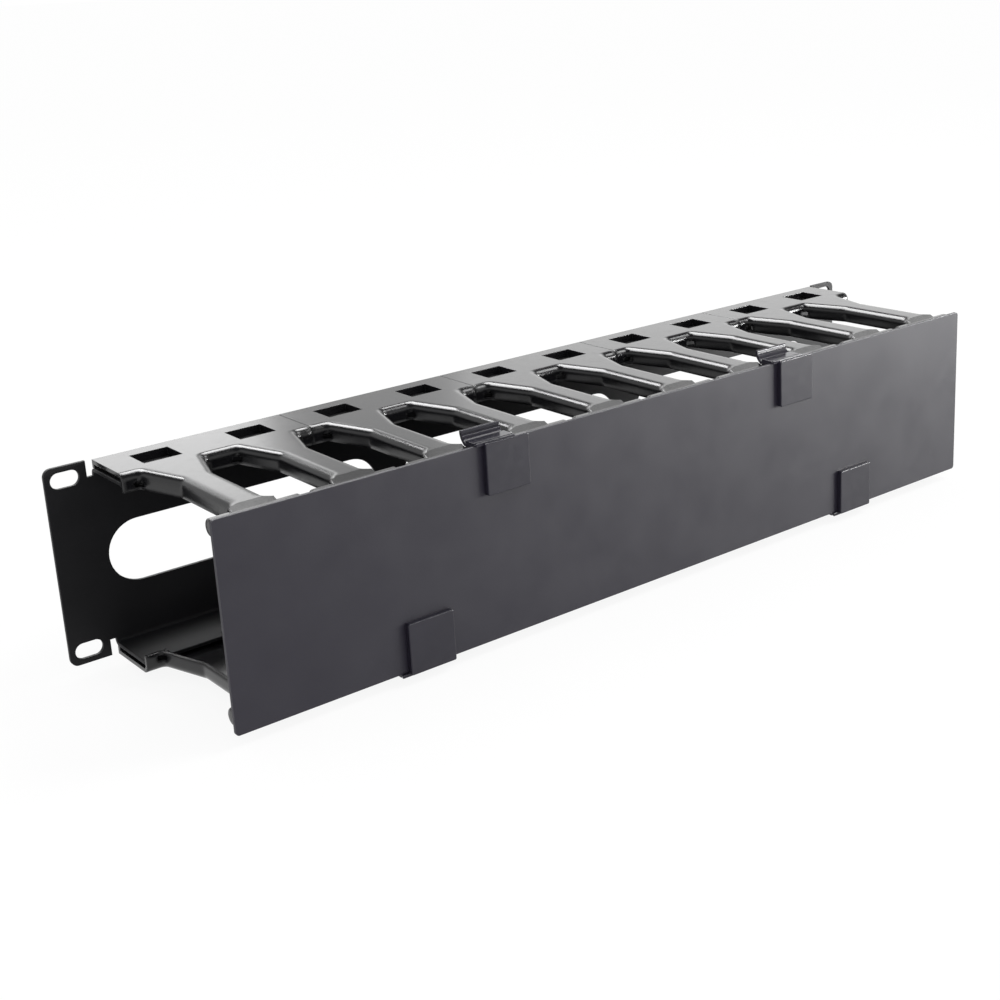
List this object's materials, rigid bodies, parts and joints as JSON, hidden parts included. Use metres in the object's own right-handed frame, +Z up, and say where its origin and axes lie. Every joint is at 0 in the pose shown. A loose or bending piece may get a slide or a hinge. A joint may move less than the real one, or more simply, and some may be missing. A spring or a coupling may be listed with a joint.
{
  "type": "horizontal cable manager",
  "caption": "Horizontal rack cable manager: a slotted back panel with two rows of moulded cable fingers and a flat clip-on cover that swings open.",
  "frame": {"origin": "middle of the rack slot pattern, on the rear face of the ears", "axes": "+X along the rack's width, +Y to the rear of the rack, +Z up; the cover faces -Y"},
  "size_m": [0.4826, 0.1101, 0.0976],
  "materials": {
    "panel": "matte powder coat",
    "fingers": "moulded, semi-gloss",
    "cover": "satin powder coat",
    "clips": "moulded, satin"
  },
  "bodies": {
    "duct": {"back_panel": "panel", "finger_module_top_1": "fingers", "finger_module_top_2": "fingers", "finger_module_top_3": "fingers", "finger_module_top_4": "fingers", "finger_module_top_5": "fingers", "finger_module_bottom_1": "fingers", "finger_module_bottom_2": "fingers", "finger_module_bottom_3": "fingers", "finger_module_bottom_4": "fingers", "finger_module_bottom_5": "fingers"},
    "cover_assembly": {"cover": "cover", "cover_clip_top_left": "clips", "cover_clip_top_right": "clips", "cover_clip_bottom_left": "clips", "cover_clip_bottom_right": "clips"}
  },
  "joints": [
    {"name": "cover_hinge", "type": "hinge", "parent": "duct", "child": "cover_assembly", "pos_m": [0, -0.101, 0.0387], "axis": [-1, 0, 0], "range_deg": [0, 85]}
  ]
}
